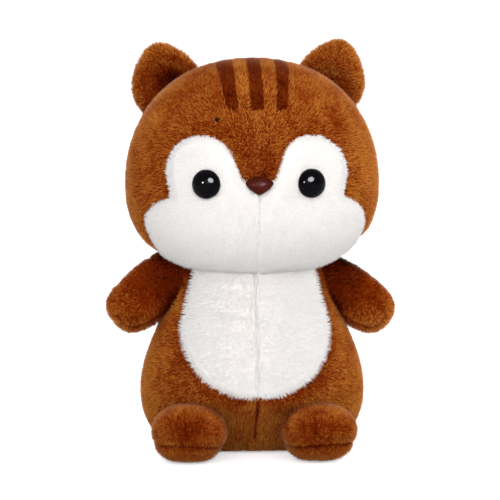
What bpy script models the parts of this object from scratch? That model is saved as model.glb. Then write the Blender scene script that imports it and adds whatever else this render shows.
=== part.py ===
# A plush squirrel that stands on its own, facing -Y, with its base on the floor at Z = 0.
# Left and right are the toy's own, so its left is at +X. All sizes are in metres.
#
# Each stuffed piece is one solid of its outer shape, pile included. The white and striped
# panels are inlaid plates, set into pockets of the head and the body along their sewn outlines.

import math

import bmesh
import bpy
from mathutils import Matrix, Vector

# Clearances, panels and seams
GAP = 0.0003                # between pieces that are sewn or pressed together
PANEL_THICKNESS = 0.003     # how deep an inlaid panel is set
PANEL_SET_FORWARD = 0.0025  # the white panels end this far in front of the middle
PANEL_TUCK = 0.006          # how far a panel's outline runs on past the end of its form
SEAM_WIDTH = 0.001          # a seam's groove, across
SEAM_DEPTH = 0.0012         # a seam's groove, inwards

# Head: a rounded form that is widest at the cheeks
HEAD_WIDTH = 0.140
HEAD_DEPTH = 0.118
CHIN_HEIGHT = 0.0967        # lowest point of the head above the floor
CHEEK_RISE = 0.0517         # from there up to the widest level
CROWN_RISE = 0.0691         # from the widest level up to the top
CROWN_POWER = 2.2           # 2 is an ellipse, more is squarer
CHIN_POWER = 2.4

# Face panels, from the cheek level up or down, and out from the middle seam
BRIDGE_HALF_WIDTH = 0.009   # the brown strip between the white lobes, at its lower end
BRIDGE_RISE = 0.0095
LOBE_RISE = 0.0335          # top of the white round each eye
LOBE_HALF_WIDTH = 0.0497    # its outer edge
NOTCH_DROP = 0.0018         # where the lobe meets the cheek
CHEEK_HALF_WIDTH = 0.0603
CHEEK_DROP = 0.0155         # the level of the white cheek's widest point

# Forehead stripes, as the front view shows them
STRIPE_FOOT_RISE = 0.0466   # the level of their lower ends above the cheeks
STRIPE_MIDDLE_FOOT = 0.0060
STRIPE_MIDDLE_CROWN = 0.0075
STRIPE_SIDE_OFFSET = 0.0102  # inner edge of an outer stripe, from the middle, at its foot
STRIPE_SIDE_SPREAD = 0.0014  # how much further out that edge is at the crown
STRIPE_SIDE_FOOT = 0.0052
STRIPE_SIDE_CROWN = 0.0076
STRIPE_REACH_BACK = 0.016   # how far behind the head's middle they end

# Eyes and nose: moulded buttons, each with a stem and a locking washer in the stuffing
EYE_DIAMETER = 0.016
EYE_HEIGHT = 0.0062         # of the dome
EYE_SPACING = 0.0574        # between the two centres
EYE_RISE = 0.0064           # above the cheek level
NOSE_WIDTH = 0.0138
NOSE_HEIGHT = 0.0103
NOSE_PROUD = 0.0060
NOSE_RISE = 0.0078          # above the cheek level
NOSE_TAPER = 0.34           # how much it narrows towards its lower end
BUTTON_RIM = 0.0014         # height of the straight rim, which is pressed into the pile
STEM_DIAMETER = 0.004
STEM_LENGTH = 0.012
WASHER_DIAMETER = 0.012
WASHER_THICKNESS = 0.0016
WASHER_DEPTH = 0.0045       # from a button's back to its washer

# Ears: cupped, rounded triangles
EAR_LENGTH = 0.046          # from the root, inside the head, to the tip
EAR_WIDTH = 0.046
EAR_THICKNESS = 0.013
EAR_CUP = 0.0080            # depth of the hollow in front
EAR_NARROWING = 0.38        # of the width, towards the tip
EAR_ROOT_ANGLE = 49.4       # round from the top of the head, degrees
EAR_ROOT_DEPTH = 0.0213     # of the root below the head's surface
EAR_LEAN = 16.5             # of the tip outwards, degrees
EAR_SET_BACK = 0.015        # behind the head's middle
EAR_TURN = 12.0             # of the hollow, outwards from the front, degrees

# Body: pear-shaped, with a flat base
HIP_WIDTH = 0.1226
HIP_DEPTH = 0.098
HIP_HEIGHT = 0.036          # the level of the widest part
BASE_POWER = 2.6            # roundness from there down to the base
BASE_SINK = 0.0012          # how far the weight flattens the bottom
NECK_WIDTH = 0.079
NECK_RISE = 0.0113          # the body runs this far up past the chin, into the head's hollow

# Belly panels
BELLY_HALF_WIDTH = 0.042
BELLY_WIDEST_HEIGHT = 0.071
BELLY_FOOT_HEIGHT = 0.0333
BELLY_NECK_HALF_WIDTH = 0.034

# Arms: stub capsules that slope out and down
ARM_THICKNESS = 0.024       # front to back
HAND_HALF_HEIGHT = 0.0143
SHOULDER_HALF_HEIGHT = 0.0158
SHOULDER_HEIGHT = 0.0945
SHOULDER_INSET = 0.001      # of the shoulder's middle, inside the body's side
ARM_LENGTH = 0.0285         # between the middles of shoulder and hand
ARM_SLOPE = 31.7            # below level, degrees

# Feet: plump ovals in front of the base
FOOT_WIDTH = 0.0424
FOOT_LENGTH = 0.048
FOOT_HEIGHT = 0.0324
FOOT_SPACING = 0.071        # between the two middles
FOOT_FRONT = 0.018          # how far the toes stand in front of the hips
FOOT_SINK = 0.0006          # how far the weight flattens the sole
FOOT_TURN = 7.0             # of the toes outwards, degrees
FOOT_POWER = 2.2
SOLE_SEAM_HEIGHT = 0.0092
TOE_CREASE_LENGTH = 0.0105
TOE_CREASE_HEIGHT = 0.0180
CREASE_DEPTH = 0.0016

# Tail: plump and upright behind the body, where the front view hides it
TAIL_WIDTH = 0.056
TAIL_THICKNESS = 0.034
TAIL_HEIGHT = 0.100
TAIL_LIFT = 0.007           # of its lower end above the floor
TAIL_SINK = 0.009           # how far its front is sewn into the hips
TAIL_LEAN = 0.010           # of its top, backwards
TAIL_POWER = 2.3

# How finely the rounded forms are divided
BALL_DIVISIONS = 7
HEAD_DIVISIONS = 10
CORE_DIVISIONS = 6          # of the forms that floor the pockets
TURNED_STEPS = 30
CORE_STEPS = 20
LOW_ROWS = 5                # of the body, below the hips
HIGH_ROWS = 7               # and above them
BUTTON_STEPS = 14
DOME_STEPS = 4
CURVE_STEPS = 3

SIDES = (("left", 1), ("right", -1))
FRONT = -0.2                # in front of everything, where the cutters start

BROWN = (0.30, 0.075, 0.010)
DARK_BROWN = (0.14, 0.022, 0.004)
WHITE = (0.90, 0.87, 0.84)
BLACK = (0.006, 0.006, 0.008)
NOSE_BROWN = (0.075, 0.012, 0.006)
WASHER_WHITE = (0.75, 0.75, 0.73)

CHEEK_HEIGHT = CHIN_HEIGHT + CHEEK_RISE
HEAD_MIDDLE = Vector((0, 0, CHEEK_HEIGHT))
NECK_HEIGHT = CHIN_HEIGHT + NECK_RISE

for item in list(bpy.data.objects):
    bpy.data.objects.remove(item, do_unlink=True)
parts = bpy.data.collections.new("plush_squirrel")
cutters = bpy.data.collections.new("cutters")
bpy.context.scene.collection.children.link(parts)
bpy.context.scene.collection.children.link(cutters)


# Objects and materials

def new_material(name, colour, roughness):
    material = bpy.data.materials.new(name)
    material.use_nodes = True
    shader = material.node_tree.nodes["Principled BSDF"]
    shader.inputs["Base Color"].default_value = (*colour, 1)
    shader.inputs["Roughness"].default_value = roughness
    material.diffuse_color = (*colour, 1)
    return material


def add_object(name, shape, group):
    bmesh.ops.recalc_face_normals(shape, faces=shape.faces)
    bmesh.ops.triangulate(shape, faces=shape.faces, quad_method="FIXED")
    mesh = bpy.data.meshes.new(name)
    shape.to_mesh(mesh)
    shape.free()
    mesh.shade_smooth()
    added = bpy.data.objects.new(name, mesh)
    group.objects.link(added)
    return added


def add_part(name, shape, colour, roughness=0.95):
    part = add_object(name, shape, parts)
    part.data.materials.append(new_material(name, colour, roughness))
    return part


def add_cutter(name, shape):
    cutter = add_object(name, shape, cutters)
    cutter.hide_render = True
    cutter.display_type = "WIRE"
    return cutter


def combine(target, operation, *others):
    for other in others:
        step = target.modifiers.new(f"{operation.lower()} {other.name}", "BOOLEAN")
        step.operation = operation
        step.object = other


def cut(target, *others):
    combine(target, "DIFFERENCE", *others)


def keep_inside(target, *others):
    combine(target, "INTERSECT", *others)


# Basic forms

def quad_ball(divisions):
    # A cube's grid swelled to a ball of radius 1: nearly even faces and no poles.
    shape = bmesh.new()
    bmesh.ops.create_cube(shape, size=2)
    bmesh.ops.subdivide_edges(shape, edges=shape.edges[:], cuts=divisions - 1, use_grid_fill=True)
    for vert in shape.verts:
        vert.co = Vector([math.tan(c * math.pi / 4) for c in vert.co]).normalized()
    return shape


def turned(profile, steps):
    # A profile of (radius, height) pairs, spun about Z. Its ends lie on the axis.
    shape = bmesh.new()
    verts = [shape.verts.new((radius, 0, height)) for radius, height in profile]
    edges = [shape.edges.new(pair) for pair in zip(verts, verts[1:])]
    bmesh.ops.spin(shape, geom=verts + edges, cent=(0, 0, 0), axis=(0, 0, 1),
                   angle=math.tau, steps=steps, use_merge=True)
    bmesh.ops.remove_doubles(shape, verts=shape.verts, dist=1e-6)
    return shape


def box(low, high):
    shape = bmesh.new()
    middle = (Vector(low) + Vector(high)) / 2
    size = Vector(high) - Vector(low)
    bmesh.ops.create_cube(shape, size=1, matrix=Matrix.Translation(middle) @ Matrix.Diagonal((*size, 1)))
    return shape


def grown(outline, distance):
    # The outline moved outwards: each point along the normals of the two runs that meet there.
    flat = [Vector((x, z)) for x, z, _ in outline]
    area = sum(a.x * b.y - b.x * a.y for a, b in zip(flat, flat[1:] + flat[:1]))
    moved = []
    for index, (x, z, corner) in enumerate(outline):
        arriving = (flat[index] - flat[index - 1]).normalized()
        leaving = (flat[(index + 1) % len(flat)] - flat[index]).normalized()
        outwards = Vector((arriving.y + leaving.y, -arriving.x - leaving.x)).normalized()
        outwards *= math.copysign(distance / max(0.5, math.sqrt((1 + arriving.dot(leaving)) / 2)), area)
        moved.append((x + outwards.x, z + outwards.y, corner))
    return moved


def outline_prism(name, outline, back):
    # A closed outline in the front view, of (x, z, is a corner), drawn out from FRONT to back.
    curve = bpy.data.curves.new(name, "CURVE")
    curve.dimensions = "2D"
    curve.fill_mode = "BOTH"
    curve.resolution_u = CURVE_STEPS
    curve.extrude = (back - FRONT) / 2
    spline = curve.splines.new("BEZIER")
    spline.bezier_points.add(len(outline) - 1)
    spline.use_cyclic_u = True
    for point, (x, z, corner) in zip(spline.bezier_points, outline):
        point.co = (x, z, 0)
        point.handle_left_type = "VECTOR" if corner else "AUTO"
        point.handle_right_type = point.handle_left_type
    drawn = bpy.data.objects.new(name, curve)
    drawn.rotation_euler.x = math.pi / 2
    drawn.location.y = (back + FRONT) / 2
    cutters.objects.link(drawn)
    view = bpy.context.evaluated_depsgraph_get()
    mesh = bpy.data.meshes.new_from_object(drawn.evaluated_get(view))
    mesh.transform(drawn.matrix_world)
    bpy.data.objects.remove(drawn)
    shape = bmesh.new()
    shape.from_mesh(mesh)
    bpy.data.meshes.remove(mesh)
    bmesh.ops.remove_doubles(shape, verts=shape.verts, dist=1e-6)
    return shape


def half_outline(outline, side):
    # One side of an outline whose first and last points lie on the middle seam.
    seam = GAP / 2
    inner = [(seam, z, True) if x == 0 else (x, z, corner) for x, z, corner in outline]
    return [(side * x, z, corner) for x, z, corner in inner]


def whole_outline(outline):
    # Both sides. A corner on the middle seam would lie on a straight run, so it is left out.
    one_side = [point for point in outline if point[0] > 0 or not point[2]]
    mirrored = [(-x, z, corner) for x, z, corner in reversed(one_side) if x > 0]
    return one_side + mirrored


def add_pocket(name, outline, back, floor):
    # What is cut away for a panel: its outline with the gap all round, down to the floor form.
    pocket = add_cutter(name, outline_prism(name, grown(outline, GAP), back + GAP))
    cut(pocket, floor)
    return pocket


def add_panel(name, shape, outline, back, colour):
    panel = add_part(name, shape, colour)
    keep_inside(panel, add_cutter(f"{name}_outline", outline_prism(name, outline, back)))
    return panel


# Head

def head_terms(direction, grow):
    # The two terms of the head's rounded form along a direction, and the power they share.
    if direction.z > 0:
        height, power = CROWN_RISE + grow, CROWN_POWER
    else:
        height, power = CHEEK_RISE + grow, CHIN_POWER
    across = (direction.x / (HEAD_WIDTH / 2 + grow)) ** 2
    along = (direction.y / (HEAD_DEPTH / 2 + grow)) ** 2
    return across + along, abs(direction.z) / height, power


def head_point(direction, grow=0.0):
    level, upright, power = head_terms(direction, grow)
    distance = (level ** (power / 2) + upright ** power) ** (-1 / power)
    return HEAD_MIDDLE + direction * distance


def head_form(grow=0.0, divisions=HEAD_DIVISIONS):
    shape = quad_ball(divisions)
    for vert in shape.verts:
        stretched = Vector((vert.co.x * HEAD_WIDTH, vert.co.y * HEAD_DEPTH,
                            vert.co.z * (CHEEK_RISE + CROWN_RISE)))
        vert.co = head_point(stretched.normalized(), grow)
    return shape


def face_point(x, z):
    # The point of the head's front at x and z, and the outward normal there.
    rise = z - CHEEK_HEIGHT
    _, upright, power = head_terms(Vector((0, 0, rise)), 0)
    level = (1 - upright ** power) ** (2 / power)
    y = -HEAD_DEPTH / 2 * math.sqrt(level - (x / (HEAD_WIDTH / 2)) ** 2)
    sideways = level ** (power / 2 - 1) / (HEAD_WIDTH / 2) ** 2 * x
    forwards = level ** (power / 2 - 1) / (HEAD_DEPTH / 2) ** 2 * y
    upwards = upright ** power / rise
    return Vector((x, y, z)), Vector((sideways, forwards, upwards)).normalized()


def face_outline():
    bridge = CHEEK_HEIGHT + BRIDGE_RISE
    lobe_top = CHEEK_HEIGHT + LOBE_RISE
    lobe_height = lobe_top - bridge
    lobe_width = LOBE_HALF_WIDTH - BRIDGE_HALF_WIDTH
    notch = CHEEK_HEIGHT - NOTCH_DROP
    cheek = CHEEK_HEIGHT - CHEEK_DROP
    under = CHIN_HEIGHT - PANEL_TUCK
    return [
        (0, bridge, True),
        (BRIDGE_HALF_WIDTH, bridge, True),
        (BRIDGE_HALF_WIDTH + 0.04 * lobe_width, bridge + 0.20 * lobe_height, False),
        (BRIDGE_HALF_WIDTH + 0.26 * lobe_width, bridge + 0.85 * lobe_height, False),
        (BRIDGE_HALF_WIDTH + 0.53 * lobe_width, lobe_top, False),
        (BRIDGE_HALF_WIDTH + 0.85 * lobe_width, bridge + 0.77 * lobe_height, False),
        (LOBE_HALF_WIDTH, bridge + 0.27 * lobe_height, False),
        (0.98 * LOBE_HALF_WIDTH, notch, True),
        (LOBE_HALF_WIDTH + 0.62 * (CHEEK_HALF_WIDTH - LOBE_HALF_WIDTH), 0.6 * notch + 0.4 * cheek, False),
        (CHEEK_HALF_WIDTH, cheek, False),
        (0.975 * CHEEK_HALF_WIDTH, cheek - 0.24 * (cheek - CHIN_HEIGHT), False),
        (0.855 * CHEEK_HALF_WIDTH, cheek - 0.60 * (cheek - CHIN_HEIGHT), False),
        (0.66 * CHEEK_HALF_WIDTH, cheek - 0.93 * (cheek - CHIN_HEIGHT), False),
        (0.50 * CHEEK_HALF_WIDTH, under, True),
        (0, under, True),
    ]


def stripe_outline(foot_inner, foot_outer, crown_inner, crown_outer):
    # A strip from the stripes' lower ends to above the crown, edges given at both levels.
    foot = CHEEK_HEIGHT + STRIPE_FOOT_RISE
    crown = CHEEK_HEIGHT + CROWN_RISE
    return [(foot_inner, foot, True), (foot_outer, foot, True),
            (crown_outer, crown, True), (crown_outer, crown + PANEL_THICKNESS, True),
            (crown_inner, crown + PANEL_THICKNESS, True), (crown_inner, crown, True)]


def stripe_outlines():
    outlines = {"stripe_middle": stripe_outline(-STRIPE_MIDDLE_FOOT / 2, STRIPE_MIDDLE_FOOT / 2,
                                                -STRIPE_MIDDLE_CROWN / 2, STRIPE_MIDDLE_CROWN / 2)}
    crown_offset = STRIPE_SIDE_OFFSET + STRIPE_SIDE_SPREAD
    for name, side in SIDES:
        edges = (STRIPE_SIDE_OFFSET, STRIPE_SIDE_OFFSET + STRIPE_SIDE_FOOT,
                 crown_offset, crown_offset + STRIPE_SIDE_CROWN)
        outlines[f"stripe_{name}"] = stripe_outline(*[side * edge for edge in edges])
    return outlines


def make_head():
    head = add_part("head", head_form(), BROWN)
    floor = add_cutter("head_pocket_floor", head_form(-PANEL_THICKNESS - GAP, CORE_DIVISIONS))
    back = add_cutter("head_panel_back", head_form(-PANEL_THICKNESS, CORE_DIVISIONS))
    seam_floor = add_cutter("head_seam_floor", head_form(-SEAM_DEPTH))

    cut(head, add_pocket("face_pocket", whole_outline(face_outline()), -PANEL_SET_FORWARD, floor))
    for name, side in SIDES:
        outline = half_outline(face_outline(), side)
        cut(add_panel(f"face_patch_{name}", head_form(), outline, -PANEL_SET_FORWARD, WHITE), back)

    for name, outline in stripe_outlines().items():
        cut(head, add_pocket(f"{name}_pocket", outline, STRIPE_REACH_BACK, floor))
        cut(add_panel(name, head_form(), outline, STRIPE_REACH_BACK, DARK_BROWN), back)

    seam = add_cutter("forehead_seam", box((-SEAM_WIDTH / 2, FRONT, CHEEK_HEIGHT + BRIDGE_RISE),
                                           (SEAM_WIDTH / 2, 0, CHEEK_HEIGHT + STRIPE_FOOT_RISE)))
    cut(seam, seam_floor)
    cut(head, seam)


# Eyes, nose and their washers

def button_profile(radius, height, grow):
    # The dome, the straight rim and the stem, from the dome's top down. Zero is the rim's top.
    arc = [math.pi / 2 * step / DOME_STEPS for step in range(DOME_STEPS + 1)]
    dome = [((radius + grow) * math.sin(a), (height + grow) * math.cos(a)) for a in arc]
    dome[0] = (0, height + grow)
    stem = STEM_DIAMETER / 2 + grow
    back = -BUTTON_RIM - grow
    end = -BUTTON_RIM - STEM_LENGTH - grow
    return dome + [(radius + grow, back), (stem, back), (stem, end), (0, end)]


def eye_form(grow=0.0):
    return turned(button_profile(EYE_DIAMETER / 2, EYE_HEIGHT, grow), BUTTON_STEPS)


def nose_form(grow=0.0):
    # The same button, its outline drawn into a triangle that is wide above and narrow below.
    shape = turned(button_profile(NOSE_WIDTH / 2, NOSE_PROUD, grow), BUTTON_STEPS)
    for vert in shape.verts:
        if vert.co.xy.length > STEM_DIAMETER / 2 + 2 * grow:
            level = vert.co.y / (NOSE_WIDTH / 2)
            vert.co.x *= 1 + NOSE_TAPER * level * (1 - level)
            vert.co.y *= NOSE_HEIGHT / NOSE_WIDTH
    return shape


def washer_profile(grow):
    outer = WASHER_DIAMETER / 2 + grow
    top = -BUTTON_RIM - WASHER_DEPTH + grow
    bottom = -BUTTON_RIM - WASHER_DEPTH - WASHER_THICKNESS - grow
    return outer, top, bottom


def washer_form():
    outer, top, bottom = washer_profile(0)
    inner = STEM_DIAMETER / 2 + GAP
    return turned([(inner, top), (outer, top), (outer, bottom), (inner, bottom), (inner, top)], BUTTON_STEPS)


def washer_pocket():
    outer, top, bottom = washer_profile(GAP)
    return turned([(0, top), (outer, top), (outer, bottom), (0, bottom)], BUTTON_STEPS)


def button_place(x, z):
    # Local Z points out of the face, local Y up.
    point, normal = face_point(x, z)
    right = Vector((0, 0, 1)).cross(normal).normalized()
    upright = normal.cross(right)
    turn = Matrix((right, upright, normal)).transposed().to_4x4()
    return Matrix.Translation(point) @ turn


def placed(shape, place):
    bmesh.ops.transform(shape, matrix=place, verts=shape.verts)
    return shape


def make_buttons():
    eye_height = CHEEK_HEIGHT + EYE_RISE
    nose_height = CHEEK_HEIGHT + NOSE_RISE
    buttons = {"nose": (nose_form, button_place(0, nose_height), NOSE_BROWN)}
    for name, side in SIDES:
        buttons[f"eye_{name}"] = (eye_form, button_place(side * EYE_SPACING / 2, eye_height), BLACK)
    for name, (form, place, colour) in buttons.items():
        add_part(name, placed(form(), place), colour, 0.12)
        washer_name = name.replace("eye", "eye_washer").replace("nose", "nose_washer")
        washer_place = place @ Matrix.Rotation(math.pi / BUTTON_STEPS, 4, "Z")
        add_part(washer_name, placed(washer_form(), washer_place), WASHER_WHITE, 0.5)
        hole = add_cutter(f"{name}_hole", placed(form(GAP), place))
        pocket = add_cutter(f"{washer_name}_pocket", placed(washer_pocket(), washer_place))
        cut(parts.objects["head"], hole, pocket)
        for side_name, side in SIDES:
            if name in ("nose", f"eye_{side_name}"):
                cut(parts.objects[f"face_patch_{side_name}"], hole)


# Ears

def ear_form(side):
    shape = quad_ball(BALL_DIVISIONS)
    for vert in shape.verts:
        x, y, z = vert.co
        height = (z + 1) / 2
        spread = math.hypot(x, z)
        hollow = EAR_CUP * max(0, 1 - (spread / 0.82) ** 2) if y < 0 else 0
        vert.co = Vector((x * EAR_WIDTH / 2 * (1 - EAR_NARROWING * height ** 2),
                          y * EAR_THICKNESS / 2 + hollow,
                          height * EAR_LENGTH))
    angle = math.radians(EAR_ROOT_ANGLE)
    towards = Vector((side * math.sin(angle), 0, math.cos(angle)))
    root = head_point(towards, -EAR_ROOT_DEPTH) + Vector((0, EAR_SET_BACK, 0))
    lean = Matrix.Rotation(side * math.radians(EAR_LEAN), 4, "Y")
    turn = Matrix.Rotation(side * math.radians(EAR_TURN), 4, "Z")
    return placed(shape, Matrix.Translation(root) @ lean @ turn)


def make_ears(head_clear):
    for name, side in SIDES:
        cut(add_part(f"ear_{name}", ear_form(side), BROWN), head_clear)


# Body

def body_half_width(z):
    # Hips that narrow smoothly up to the neck, and curve in quickly down to the base.
    if z < HIP_HEIGHT:
        drop = (HIP_HEIGHT - z) / (HIP_HEIGHT + BASE_SINK)
        return HIP_WIDTH / 2 * (1 - drop ** BASE_POWER) ** (1 / BASE_POWER)
    share = min(1, (z - HIP_HEIGHT) / (NECK_HEIGHT - HIP_HEIGHT))
    return HIP_WIDTH / 2 + (NECK_WIDTH - HIP_WIDTH) / 2 * share * share * (3 - 2 * share)


def body_form(grow=0.0, steps=TURNED_STEPS):
    # Turned, then drawn in to the hips' depth. The base stays flat on the floor, or grow above it.
    floor = -grow
    heights = [HIP_HEIGHT * (1 - math.cos(math.pi / 2 * row / LOW_ROWS)) for row in range(LOW_ROWS)]
    heights += [HIP_HEIGHT + (NECK_HEIGHT - HIP_HEIGHT) * row / HIGH_ROWS for row in range(HIGH_ROWS + 1)]
    side = [(body_half_width(z) + grow, z) for z in reversed(heights[1:])]
    profile = [(0, NECK_HEIGHT + grow)] + side + [(body_half_width(0) + grow, floor), (0, floor)]
    shape = turned(profile, steps)
    for vert in shape.verts:
        vert.co.y *= HIP_DEPTH / HIP_WIDTH
    return shape


def belly_outline():
    widest = BELLY_HALF_WIDTH
    middle = BELLY_WIDEST_HEIGHT
    drop = middle - BELLY_FOOT_HEIGHT
    rise = CHIN_HEIGHT - middle
    return [
        (0, BELLY_FOOT_HEIGHT, False),
        (0.45 * widest, middle - 0.90 * drop, False),
        (0.83 * widest, middle - 0.56 * drop, False),
        (widest, middle, False),
        (0.6 * widest + 0.4 * BELLY_NECK_HALF_WIDTH, middle + 0.58 * rise, False),
        (BELLY_NECK_HALF_WIDTH, CHIN_HEIGHT + PANEL_TUCK, False),
        (0.88 * BELLY_NECK_HALF_WIDTH, NECK_HEIGHT + PANEL_TUCK, True),
        (0, NECK_HEIGHT + PANEL_TUCK, True),
    ]


def make_body(head_clear):
    body = add_part("body", body_form(), BROWN)
    floor = add_cutter("body_pocket_floor", body_form(-PANEL_THICKNESS - GAP, CORE_STEPS))
    back = add_cutter("body_panel_back", body_form(-PANEL_THICKNESS, CORE_STEPS))
    seam_floor = add_cutter("body_seam_floor", body_form(-SEAM_DEPTH))

    pocket = add_pocket("belly_pocket", whole_outline(belly_outline()), -PANEL_SET_FORWARD, floor)
    seam = add_cutter("body_seam", box((-SEAM_WIDTH / 2, FRONT, BASE_SINK + SEAM_DEPTH),
                                       (SEAM_WIDTH / 2, 0, BELLY_FOOT_HEIGHT + SEAM_WIDTH)))
    cut(seam, seam_floor)
    cut(body, head_clear, pocket, seam)
    for name, side in SIDES:
        outline = half_outline(belly_outline(), side)
        panel = add_panel(f"belly_patch_{name}", body_form(), outline, -PANEL_SET_FORWARD, WHITE)
        cut(panel, back, head_clear)


# Limbs and tail

def arm_form(side):
    # A ball drawn out along its own Z, from the shoulder to the hand.
    shape = quad_ball(BALL_DIVISIONS)
    for vert in shape.verts:
        x, y, z = vert.co
        share = 0.5 + 0.5 * max(-1, min(1, z / 0.4))
        half_height = SHOULDER_HALF_HEIGHT + (HAND_HALF_HEIGHT - SHOULDER_HALF_HEIGHT) * share
        vert.co = Vector((x * half_height, y * ARM_THICKNESS / 2, z * half_height + ARM_LENGTH * share))
    shoulder = Vector((side * (body_half_width(SHOULDER_HEIGHT) - SHOULDER_INSET), 0, SHOULDER_HEIGHT))
    swing = Matrix.Rotation(side * math.radians(90 + ARM_SLOPE), 4, "Y")
    return placed(shape, Matrix.Translation(shoulder) @ swing)


def foot_form(side, grow=0.0):
    half = Vector((FOOT_WIDTH, FOOT_LENGTH, FOOT_HEIGHT + FOOT_SINK)) / 2
    grown = Vector([size + grow for size in half])
    shape = quad_ball(BALL_DIVISIONS)
    for vert in shape.verts:
        terms = [abs(c) ** FOOT_POWER for c in vert.co]
        vert.co *= sum(terms) ** (-1 / FOOT_POWER)
        vert.co = Vector([c * size for c, size in zip(vert.co, grown)])
    front = -HIP_DEPTH / 2 - FOOT_FRONT
    middle = Vector((side * FOOT_SPACING / 2, front + half.y, half.z - FOOT_SINK))
    turn = Matrix.Rotation(side * math.radians(FOOT_TURN), 4, "Z")
    placed(shape, Matrix.Translation(middle) @ turn)
    for vert in shape.verts:
        vert.co.z = max(vert.co.z, -grow)
    return shape


def make_feet(body_clear):
    for name, side in SIDES:
        foot = add_part(f"foot_{name}", foot_form(side), BROWN)
        middle = side * FOOT_SPACING / 2
        sole_seam = add_cutter(f"sole_seam_{name}", box(
            (middle - FOOT_LENGTH, FRONT, SOLE_SEAM_HEIGHT - SEAM_WIDTH / 2),
            (middle + FOOT_LENGTH, 0, SOLE_SEAM_HEIGHT + SEAM_WIDTH / 2)))
        crease = add_cutter(f"toe_crease_{name}", box(
            (middle - SEAM_WIDTH / 2, FRONT, TOE_CREASE_HEIGHT - TOE_CREASE_LENGTH / 2),
            (middle + SEAM_WIDTH / 2, -HIP_DEPTH / 2, TOE_CREASE_HEIGHT + TOE_CREASE_LENGTH / 2)))
        cut(sole_seam, add_cutter(f"sole_seam_floor_{name}", foot_form(side, -SEAM_DEPTH)))
        cut(crease, add_cutter(f"toe_crease_floor_{name}", foot_form(side, -CREASE_DEPTH)))
        cut(foot, body_clear, sole_seam, crease)


def tail_form():
    shape = quad_ball(BALL_DIVISIONS)
    half = Vector((TAIL_WIDTH, TAIL_THICKNESS, TAIL_HEIGHT)) / 2
    for vert in shape.verts:
        vert.co *= sum(abs(c) ** TAIL_POWER for c in vert.co) ** (-1 / TAIL_POWER)
        lean = TAIL_LEAN * ((vert.co.z + 1) / 2) ** 2
        vert.co = Vector((vert.co.x * half.x, vert.co.y * half.y + lean, vert.co.z * half.z))
    middle = Vector((0, HIP_DEPTH / 2 + half.y - TAIL_SINK, TAIL_LIFT + half.z))
    return placed(shape, Matrix.Translation(middle))


def make_limbs_and_tail(head_clear, body_clear):
    for name, side in SIDES:
        cut(add_part(f"arm_{name}", arm_form(side), BROWN), body_clear, head_clear)
    make_feet(body_clear)
    cut(add_part("tail", tail_form(), BROWN), body_clear)


head_clear = add_cutter("head_clear", head_form(GAP))
body_clear = add_cutter("body_clear", body_form(GAP))
make_head()
make_buttons()
make_ears(head_clear)
make_body(head_clear)
make_limbs_and_tail(head_clear, body_clear)
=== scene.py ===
# A plush squirrel that stands on its own and faces -Y. Left and right are the toy's own, so its
# left is at +X. All sizes are in metres. Each stuffed piece is a sewn skin with its pile on it.
import math

import bmesh
import bpy
import numpy as np
from mathutils import Matrix, Vector, kdtree


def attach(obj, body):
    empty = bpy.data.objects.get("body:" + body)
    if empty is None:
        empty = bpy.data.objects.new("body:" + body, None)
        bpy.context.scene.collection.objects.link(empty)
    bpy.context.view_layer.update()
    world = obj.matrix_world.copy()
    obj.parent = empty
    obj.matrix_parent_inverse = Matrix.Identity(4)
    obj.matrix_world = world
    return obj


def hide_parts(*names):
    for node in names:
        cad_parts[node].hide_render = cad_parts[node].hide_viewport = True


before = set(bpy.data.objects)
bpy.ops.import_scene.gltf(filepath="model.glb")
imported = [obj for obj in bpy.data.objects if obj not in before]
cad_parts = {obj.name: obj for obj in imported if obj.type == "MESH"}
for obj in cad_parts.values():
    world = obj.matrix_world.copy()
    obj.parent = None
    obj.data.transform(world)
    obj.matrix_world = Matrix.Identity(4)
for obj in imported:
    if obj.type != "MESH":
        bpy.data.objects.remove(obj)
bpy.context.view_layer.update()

sides = (("left", 1), ("right", -1))


# Camera

view = {
    "azimuth": -4.0,            # round from straight in front, degrees
    "elevation": 8.0,
    "distance": 5.0,
    "lens": 654.5,              # takes in 275 mm at that distance
    "aimAcross": -0.0011,       # the picture's middle, to the right of the toy's
    "aimUp": 0.110,
}


def viewAxes(azimuth, elevation):
    round, rise = math.radians(azimuth), math.radians(elevation)
    right = Vector((math.cos(round), math.sin(round), 0))
    forward = Vector((-math.sin(round) * math.cos(rise), math.cos(round) * math.cos(rise), -math.sin(rise)))
    return right, forward, right.cross(forward)


def makeCamera():
    right, forward, up = viewAxes(view["azimuth"], view["elevation"])
    camera = bpy.data.cameras.new("camera")
    camera.lens = view["lens"]
    camera.clip_start, camera.clip_end = 0.1, 50
    holder = bpy.data.objects.new("camera", camera)
    holder.rotation_euler = forward.to_track_quat("-Z", "Y").to_euler()
    holder.location = right * view["aimAcross"] + up * view["aimUp"] - forward * view["distance"]
    bpy.context.collection.objects.link(holder)
    bpy.context.scene.camera = holder


makeCamera()
print("camera ready")


# Nodes and materials

def addNode(tree, kind, inputs=None, **settings):
    # A node with its settings made, and its inputs set or linked by name or number.
    node = tree.nodes.new(kind)
    for key, value in settings.items():
        setattr(node, key, value)
    for key, value in (inputs or {}).items():
        if isinstance(value, bpy.types.NodeSocket):
            tree.links.new(value, node.inputs[key])
        else:
            node.inputs[key].default_value = value
    return node


def newMaterial(name, constants):
    material = bpy.data.materials.new(name)
    material.use_nodes = True
    shader = material.node_tree.nodes["Principled BSDF"]
    for key, value in constants.items():
        shader.inputs[key].default_value = value
    return material, material.node_tree, shader


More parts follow.
